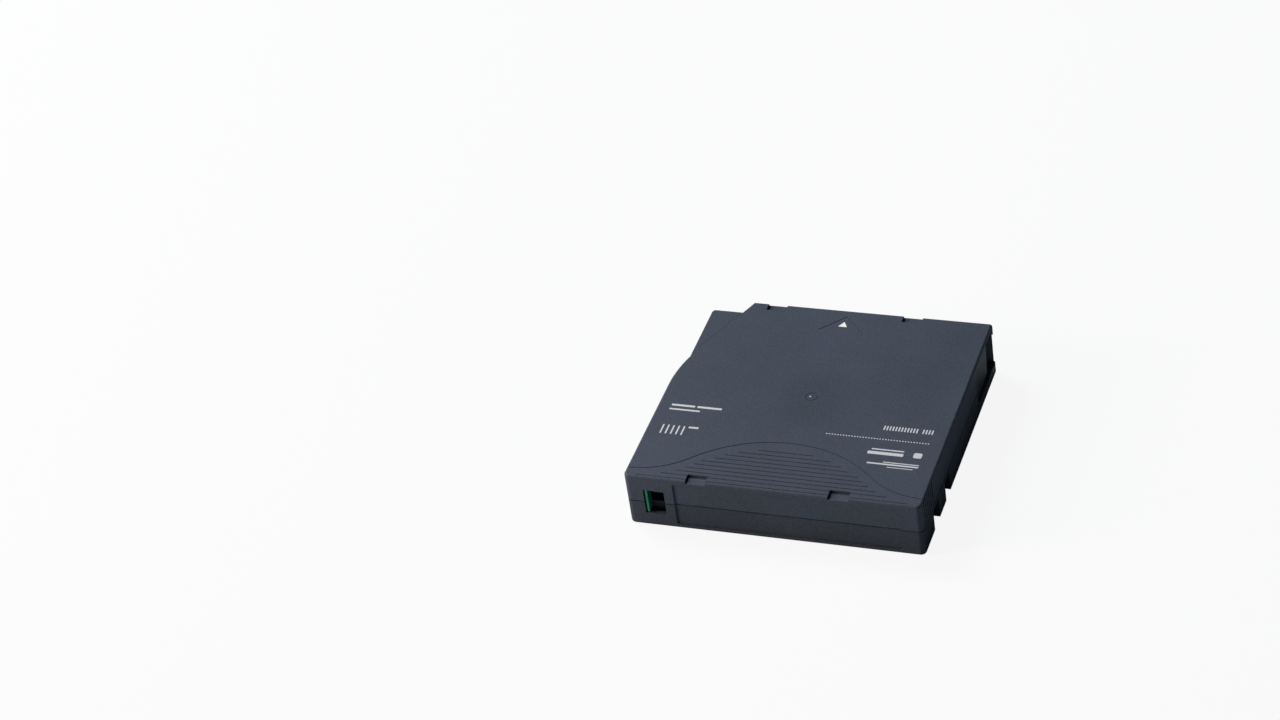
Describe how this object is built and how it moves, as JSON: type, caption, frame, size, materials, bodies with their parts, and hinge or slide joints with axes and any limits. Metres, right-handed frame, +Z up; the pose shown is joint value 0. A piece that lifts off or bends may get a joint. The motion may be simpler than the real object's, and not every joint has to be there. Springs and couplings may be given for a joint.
{
  "type": "data tape cartridge",
  "caption": "Flat square cartridge with one reel of half-inch data tape, a sliding door at one corner, a write-protect slider and a spring brake",
  "frame": {"origin": "middle of the underside, on the reel's axis", "axes": "X across the width, door at +X; Y the way it goes into a drive; Z up"},
  "size_m": [0.1054, 0.102, 0.0215],
  "materials": {
    "shell_plastic": "fine spark-eroded texture, dark slate",
    "door_plastic": "satin moulded, near black",
    "spring_steel": "drawn and cold-rolled spring steel",
    "reel_plastic": "moulded, light grey",
    "plate_steel": "nickel plated",
    "tape": "wound edge of polyester tape, satin",
    "brake_plastic": "acetal, off-white",
    "pin_steel": "turned stainless steel",
    "clip_plastic": "moulded, white",
    "slider_plastic": "moulded, green",
    "circuit_board": "solder-masked laminate"
  },
  "bodies": {
    "case": {"lower_shell": "shell_plastic", "upper_shell": "shell_plastic", "brake_spring": "spring_steel", "door_spring": "spring_steel", "leader_pin": "pin_steel", "leader_clip": "clip_plastic", "tape_lead": "tape", "pin_spring_lower": "spring_steel", "pin_spring_upper": "spring_steel", "cartridge_memory": "circuit_board", "screw_front_left": "plate_steel", "screw_front_right": "plate_steel", "screw_back_left": "plate_steel", "screw_back_right": "plate_steel"},
    "door": {"door": "door_plastic"},
    "reel": {"reel_hub": "reel_plastic", "reel_upper_flange": "reel_plastic", "reel_plate": "plate_steel", "tape_pack": "tape"},
    "brake": {"brake_button": "brake_plastic"},
    "release": {"release_plate": "brake_plastic"},
    "protect": {"write_protect_slider": "slider_plastic"}
  },
  "joints": [
    {"name": "door_slide", "type": "slide", "parent": "case", "child": "door", "axis": [0, -1, 0], "range_m": [0, 0.023], "stiffness_N_per_m": 20, "springref_m": -0.01, "deforming": ["door_spring"]},
    {"name": "protect_slide", "type": "slide", "parent": "case", "child": "protect", "axis": [1, 0, 0], "range_m": [0, 0.0054]},
    {"name": "reel_spin", "type": "hinge", "parent": "case", "child": "reel", "pos_m": [0, 0, 0.0107], "axis": [0, 0, 1], "continuous": true},
    {"name": "brake_lift", "type": "slide", "parent": "case", "child": "brake", "axis": [0, 0, 1], "range_m": [0, 0.0022], "stiffness_N_per_m": 500, "springref_m": -0.004, "deforming": ["brake_spring"]},
    {"name": "release_lift", "type": "slide", "parent": "reel", "child": "release", "axis": [0, 0, 1], "range_m": [0, 0.0022]}
  ],
  "couplings": [
    {"joint": "release_lift", "follows": "brake_lift", "ratio": 1}
  ]
}
